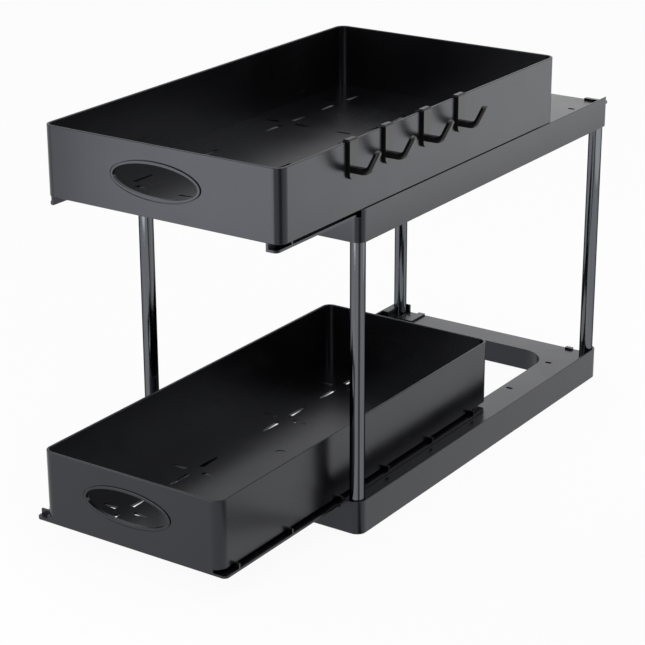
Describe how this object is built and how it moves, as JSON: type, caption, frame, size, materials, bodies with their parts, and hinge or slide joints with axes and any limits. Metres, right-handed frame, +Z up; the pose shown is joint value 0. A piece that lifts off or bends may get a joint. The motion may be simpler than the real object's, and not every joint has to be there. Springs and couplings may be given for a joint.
{
  "type": "under sink organizer",
  "caption": "Tall narrow organizer: moulded base and top frames joined by round tubes, a narrow lower tray and a wide upper tray that slide out, and J hooks hung on the upper tray's rim.",
  "frame": {"origin": "middle of the underside of the whole organizer's bounding box, with both trays part way out as in the picture; z = 0 is the floor under the rubber feet", "axes": "+Y runs from the front, where the trays slide out, to the back; +X runs to the side that carries the hooks; +Z is up"},
  "size_m": [0.2428, 0.5494, 0.325],
  "materials": {
    "black_plastic": "injection-moulded polypropylene, fine satin grain",
    "painted_tube": "drawn steel tube, black powder coat, satin",
    "plug_plastic": "moulded polyethylene, plain",
    "foot_rubber": "moulded rubber, plain",
    "hook_plastic": "injection-moulded, smooth and semi-gloss"
  },
  "bodies": {
    "frame": {"base_frame": "black_plastic", "top_frame": "black_plastic", "leg_tube_front_left": "painted_tube", "leg_tube_front_right": "painted_tube", "leg_tube_rear_left": "painted_tube", "leg_tube_rear_right": "painted_tube", "lower_tube_plug_front_left": "plug_plastic", "lower_tube_plug_front_right": "plug_plastic", "lower_tube_plug_rear_left": "plug_plastic", "lower_tube_plug_rear_right": "plug_plastic", "upper_tube_plug_front_left": "plug_plastic", "upper_tube_plug_front_right": "plug_plastic", "upper_tube_plug_rear_left": "plug_plastic", "upper_tube_plug_rear_right": "plug_plastic", "rubber_foot_front_left": "foot_rubber", "rubber_foot_front_right": "foot_rubber", "rubber_foot_rear_left": "foot_rubber", "rubber_foot_rear_right": "foot_rubber"},
    "upper_tray_body": {"upper_tray": "black_plastic"},
    "lower_tray_body": {"lower_tray": "black_plastic"},
    "hook_1": {"rim_hook_1": "hook_plastic"},
    "hook_2": {"rim_hook_2": "hook_plastic"},
    "hook_3": {"rim_hook_3": "hook_plastic"},
    "hook_4": {"rim_hook_4": "hook_plastic"}
  },
  "joints": [
    {"name": "upper_tray_slide", "type": "slide", "parent": "frame", "child": "upper_tray_body", "axis": [0, 1, 0], "range_m": [-0.08, 0.101]},
    {"name": "lower_tray_slide", "type": "slide", "parent": "frame", "child": "lower_tray_body", "axis": [0, 1, 0], "range_m": [-0.04, 0.147]},
    {"name": "hook_1_lift", "type": "slide", "parent": "upper_tray_body", "child": "hook_1", "axis": [0, 0, 1], "range_m": [0, 0.035]},
    {"name": "hook_2_lift", "type": "slide", "parent": "upper_tray_body", "child": "hook_2", "axis": [0, 0, 1], "range_m": [0, 0.035]},
    {"name": "hook_3_lift", "type": "slide", "parent": "upper_tray_body", "child": "hook_3", "axis": [0, 0, 1], "range_m": [0, 0.035]},
    {"name": "hook_4_lift", "type": "slide", "parent": "upper_tray_body", "child": "hook_4", "axis": [0, 0, 1], "range_m": [0, 0.035]}
  ]
}
